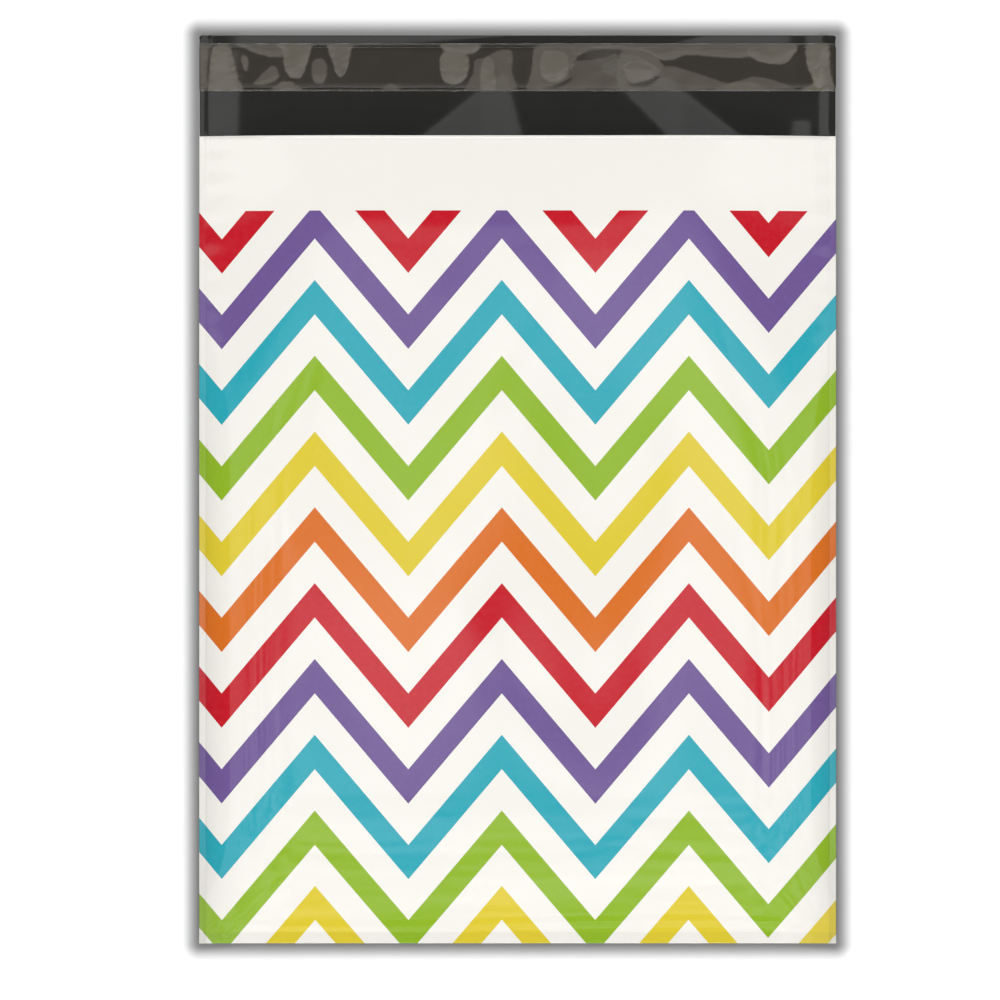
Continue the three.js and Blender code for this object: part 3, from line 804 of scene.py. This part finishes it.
# %% Round outlines and the air in them
def rounded(corners, count=6):
    """A closed outline through the corners, with a count of points from each to the next."""
    a = np.array(corners)
    before, after, beyond = np.roll(a, 1, 0), np.roll(a, -1, 0), np.roll(a, -2, 0)
    t = (np.arange(count) / count)[None, :, None]
    a, before, after, beyond = (v[:, None] for v in (a, before, after, beyond))
    curve = 2 * a + (after - before) * t + (2 * before - 5 * a + 4 * after - beyond) * t**2
    return ((curve + (3 * a - before - 3 * after + beyond) * t**3) / 2).reshape(-1, 2)


def depth_inside(x, y, outline):
    """How far each place is inside the outline, in mm, and negative outside it."""
    start, end = outline, np.roll(outline, -1, 0)
    nearest, inside = np.full(x.shape, 1e9), np.zeros(x.shape, bool)
    for (x0, y0), (x1, y1) in zip(start, end):
        along = ((x - x0) * (x1 - x0) + (y - y0) * (y1 - y0)) / ((x1 - x0) ** 2 + (y1 - y0) ** 2)
        along = np.clip(along, 0, 1)
        away = np.hypot(x - x0 - along * (x1 - x0), y - y0 - along * (y1 - y0))
        nearest = np.minimum(nearest, away)
        if y0 != y1:
            crosses = (y < y0) != (y < y1)
            inside ^= crosses & (x < x0 + (y - y0) * (x1 - x0) / (y1 - y0))
    return np.where(inside, nearest, -nearest)


BUBBLE_RISE = 0.16


def air_under(x, down):
    """How pale the strip is painted over the air, partly haze and partly painted reflection, with a
    less pale line just inside each outline, and how high the air lifts it, in mm.
    """
    wavy_x = x + HALF_WIDTH + 0.16 * np.sin(down * 1.9 + x / 3)
    wavy_y = down + 0.14 * np.sin(x * 1.31 + down)
    air, rise = np.zeros_like(x), np.zeros_like(x)
    for pale_haze_and_reflection, corners in BUBBLES:
        depth = depth_inside(wavy_x, wavy_y, rounded(corners))
        share = smooth(depth, -0.25, 0.45)
        rim = 0.18 * np.exp(-((depth - 0.1) / 0.5) ** 2)
        air = air * (1 - share) * (1 - rim) + pale_haze_and_reflection * share
        dome = BUBBLE_RISE * min(pale_haze_and_reflection, 1) * (1 - np.exp(-np.clip(depth, 0, None) / 1.7))
        rise = rise * (1 - share) + dome * share
    return air, rise


# %% Clear strip
LINER_THICKNESS = 0.05
OFF_GLUE = 0.006
DRY_EDGE = 0.42
strip_x = steps(-HALF_WIDTH, 0.55, HALF_WIDTH)
strip_down = steps(LINER_FROM_LIP + LINER_HEIGHT, 0.42, LINER_FROM_LIP)
sx, sd = np.meshgrid(strip_x, strip_down)
air, rise = air_under(sx, sd)
from_edge = np.minimum(sd - LINER_FROM_LIP, LINER_FROM_LIP + LINER_HEIGHT - sd)
off_glue = 1 - smooth(from_edge, 0.45, 0.95)
strip_height = GLUE_THICKNESS + OFF_GLUE + rise + 0.02 * np.sin(sx / 5 + sd / 3) ** 2
upper = on_flap(sx, sd, strip_height + LINER_THICKNESS)
lower = on_flap(sx, sd, strip_height)
strip_mesh = sheet_mesh("strip", upper[::-1], lower[::-1], np.stack([sx, sd], -1)[::-1])
# Painted reflection: the paleness over air and along the dry edges off the glue stands partly for the
# strip's own haze and partly for the light that the faces of the air gap mirror.
pale_haze_and_reflection = np.maximum(air, DRY_EDGE * off_glue)
pale = strip_mesh.attributes.new("air", "FLOAT", "POINT")
pale.data.foreach_set("value", np.tile(pale_haze_and_reflection[::-1].ravel(), 2).astype(np.float32))
print("air lies under", round(float((air > 0.4).mean() * 100)), "% of the strip")

# %% Finish of the clear strip
clear, tree, shader = new_finish("clear strip")
amount = add(tree, "ShaderNodeAttribute", attribute_name="air").outputs["Fac"]
place = add(tree, "ShaderNodeTexCoord").outputs["Object"]
cloud = add(tree, "ShaderNodeTexNoise", {"Vector": place, "Scale": 130, "Detail": 4}).outputs[0]
fine = add(tree, "ShaderNodeTexNoise", {"Vector": place, "Scale": 420, "Detail": 2}).outputs[0]
bump = add(tree, "ShaderNodeBump", {"Height": fine, "Strength": 0.25, "Distance": 0.00002})
uneven = sum_of(tree, "MULTIPLY_ADD", cloud, 0.5, 0.75)
# The painted paleness sets how much of the strip's pale colour covers the dark glue below.
alpha = sum_of(tree, "MULTIPLY_ADD", sum_of(tree, "MULTIPLY", amount, uneven), 0.5, 0.02)
colour = blend(tree, cloud, (0.17, 0.155, 0.125, 1), (0.23, 0.21, 0.175, 1))
fill(shader, Base_Color=colour, Roughness=0.09, IOR=1.5, Alpha=alpha, Normal=bump.outputs[0])
strip = new_piece("clear_strip", strip_mesh, clear, clear, clear)

# %% [markdown]
# ## Table and light
#
# The bag lies on a plain white table. One wide soft lamp hangs over it, a little brighter at its
# two ends, and that lamp is what the film mirrors. It ends just past the point that the flap
# mirrors, which is why the flap is half light and half dark. Its cloth isn't even, and its soft
# clouds become the light patches on the inks. Two far lamps, one behind the bag and one in front
# of it, light it at a slant, and the world adds a low even light.
#
# A lamp this wide casts hardly any shadow. The shadow round the bag in a catalogue picture is
# soft and of one width on all sides, so most of it is put into the colour of the table, as a
# soft step over the distance from the bag's outline. Where the camera sees the table it also
# glows a little, which makes it as white as the page with no more light on the bag.

# %% Table
TABLE_HALF, TABLE_TOP = 6, -0.00006
SHADOW_START, SHADOW_END = 0.0005, 0.0083
SHADOW_LEVEL = 0.26
table = bpy.data.meshes.new("table")
around = ((-1, -1), (1, -1), (1, 1), (-1, 1))
corners = [(x * TABLE_HALF, y * TABLE_HALF, TABLE_TOP) for x, y in around]
table.from_pydata(corners, [], [(0, 1, 2, 3)])
floor = bpy.data.objects.new("table", table)
bpy.context.collection.objects.link(floor)

# %% Table's colour, with the shadow round the bag
table_finish, tree, shader = new_finish("white table")
place = add(tree, "ShaderNodeTexCoord").outputs["Object"]
spot = add(tree, "ShaderNodeSeparateXYZ", {0: place}).outputs
out_x = sum_of(tree, "SUBTRACT", sum_of(tree, "ABSOLUTE", spot[0]), HALF_WIDTH / 1000)
out_y = sum_of(tree, "SUBTRACT", sum_of(tree, "ABSOLUTE", spot[1]), LIP_Y / 1000)
out_x, out_y = sum_of(tree, "MAXIMUM", out_x, 0.0), sum_of(tree, "MAXIMUM", out_y, 0.0)
away = add(tree, "ShaderNodeCombineXYZ", {0: out_x, 1: out_y}).outputs[0]
away = add(tree, "ShaderNodeVectorMath", {0: away}, operation="LENGTH").outputs[1]
clear_of = rescale(tree, away, SHADOW_START, SHADOW_END, SHADOW_LEVEL, 1.0,
                   interpolation_type="SMOOTHSTEP")
print("the shadow is gone", round(SHADOW_END * 1000, 1), "mm from the bag")
shade = blend(tree, clear_of, (0, 0, 0, 1), (0.95, 0.95, 0.95, 1))
fill(shader, Base_Color=shade, Roughness=0.9, Specular_IOR_Level=0.0)

# %% Table as white as the page
TABLE_GLOW = 0.10


def seen_by_camera(tree):
    """1 for what the camera sees, straight or through clear film, and 0 for any other ray."""
    rays = add(tree, "ShaderNodeLightPath").outputs
    return sum_of(tree, "MAXIMUM", rays["Is Camera Ray"], rays["Is Transmission Ray"])


seen = seen_by_camera(tree)
extra = sum_of(tree, "MULTIPLY", sum_of(tree, "MULTIPLY", seen, clear_of), TABLE_GLOW)
glow = add(tree, "ShaderNodeEmission", {"Strength": extra})
both = add(tree, "ShaderNodeAddShader", {0: shader.outputs[0], 1: glow.outputs[0]})
tree.links.new(both.outputs[0], tree.nodes["Material Output"].inputs["Surface"])
table.materials.append(table_finish)
floor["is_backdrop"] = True

# %% Uneven lamp
# The arm that holds the camera hangs below the lamp and hides a little of it.
ARM_PLACE = (0.055, 0.19)
ARM_SIZE = (0.06, 0.085)
ARM_SHADE = 0.3
MEAN_GLOW = 1.2


def uneven(lamp):
    """Dims a lamp where the arm hides it, and in soft clouds that fade out towards its back."""
    lamp.use_nodes = True
    tree = lamp.node_tree
    spot = add(tree, "ShaderNodeNewGeometry").outputs["Position"]
    cloud = add(tree, "ShaderNodeTexNoise", {"Vector": spot, "Scale": 12, "Detail": 1}).outputs[0]
    cloud = rescale(tree, cloud, 0.38, 0.62, -1.1, 1.0)
    along = add(tree, "ShaderNodeSeparateXYZ", {0: spot}).outputs[1]
    glow = sum_of(tree, "MULTIPLY_ADD", cloud, rescale(tree, along, 0.12, 0.26, 1.0, 0.0), MEAN_GLOW)
    size = (1 / ARM_SIZE[0], 1 / ARM_SIZE[1], 0)
    shift = (-ARM_PLACE[0] / ARM_SIZE[0], -ARM_PLACE[1] / ARM_SIZE[1], 0)
    local = add(tree, "ShaderNodeMapping", {"Vector": spot, "Location": shift, "Scale": size})
    off = add(tree, "ShaderNodeVectorMath", {0: local.outputs[0]}, operation="LENGTH").outputs[1]
    past = rescale(tree, off, 0.5, 1.4, ARM_SHADE, 1.0, interpolation_type="SMOOTHSTEP")
    tree.links.new(sum_of(tree, "MULTIPLY", glow, past), tree.nodes["Emission"].inputs["Strength"])


# %% Lamps
LAMP_HEIGHT = 3.2
LAMP_BACK, LAMP_FRONT = 0.36, -2.1
WATTS_PER_RADIANCE = 2.745


def soft_lamp(name, place, size, radiance):
    """A flat lamp at a place, which faces the bag, or straight down where it hangs over it."""
    lamp = bpy.data.lights.new(name, "AREA")
    lamp.shape = "RECTANGLE"
    lamp.size, lamp.size_y = size
    lamp.energy = radiance * WATTS_PER_RADIANCE * size[0] * size[1]
    thing = bpy.data.objects.new(name, lamp)
    thing.location = place
    if place[2] < LAMP_HEIGHT:
        thing.rotation_euler = Vector(place).to_track_quat("Z", "Y").to_euler()
    thing.visible_camera = False
    bpy.context.collection.objects.link(thing)


def over_table(name, left, right, radiance):
    """A lamp over the table, from left to right."""
    depth = LAMP_BACK - LAMP_FRONT
    place = ((left + right) / 2, (LAMP_BACK + LAMP_FRONT) / 2, LAMP_HEIGHT)
    soft_lamp(name, place, (right - left, depth), radiance)


over_table("middle lamp", -1.6, 2.4, 1.0)
uneven(bpy.data.lights["middle lamp"])
over_table("left lamp", -2.64, -1.6, 1.3)
over_table("right lamp", 2.4, 3.35, 1.3)
for name, y, radiance in (("far back", 4.2, 10.0), ("far front", -4.2, 11.0)):
    soft_lamp(name, (0, y, 2.4), (3.0, 1.5), radiance)
print(len(bpy.data.lights), "lamps")

# %% World
WORLD_LIGHT = 0.25
world = bpy.data.worlds.new("world")
bpy.context.scene.world = world
world.use_nodes = True
tree = world.node_tree
dim = tree.nodes["Background"]
dim.inputs["Strength"].default_value = WORLD_LIGHT
bright = add(tree, "ShaderNodeBackground", {"Color": (1, 1, 1, 1), "Strength": 1.0})
dim.inputs["Color"].default_value = (1, 1, 1, 1)
seen = seen_by_camera(tree)
pick = add(tree, "ShaderNodeMixShader", {0: seen, 1: dim.outputs[0], 2: bright.outputs[0]})
tree.links.new(pick.outputs[0], tree.nodes["World Output"].inputs["Surface"])
bpy.context.scene.view_settings.view_transform = "Standard"
print("view", bpy.context.scene.view_settings.view_transform)

# %% [markdown]
# ## Join the pieces to the bag's body
#
# Each piece goes with the bag's one body, and the solid parts that the film, the glue and the strip
# take the place of are hidden.

for piece, slot in ((film, "printed_film"), (bead, "printed_film"), (glue, "hot_melt_glue"),
                    (strip, "clear_liner")):
    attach(piece, "root")
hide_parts("mailer_film")
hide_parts("adhesive_strip")
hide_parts("release_liner")

# %% Sizes of the solid parts and of the shown pieces
shown_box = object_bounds()
for label, (low, high) in (("solid", solid_box), ("shown", shown_box)):
    print(label, [round(v * 1000, 2) for v in low], [round(v * 1000, 2) for v in high])
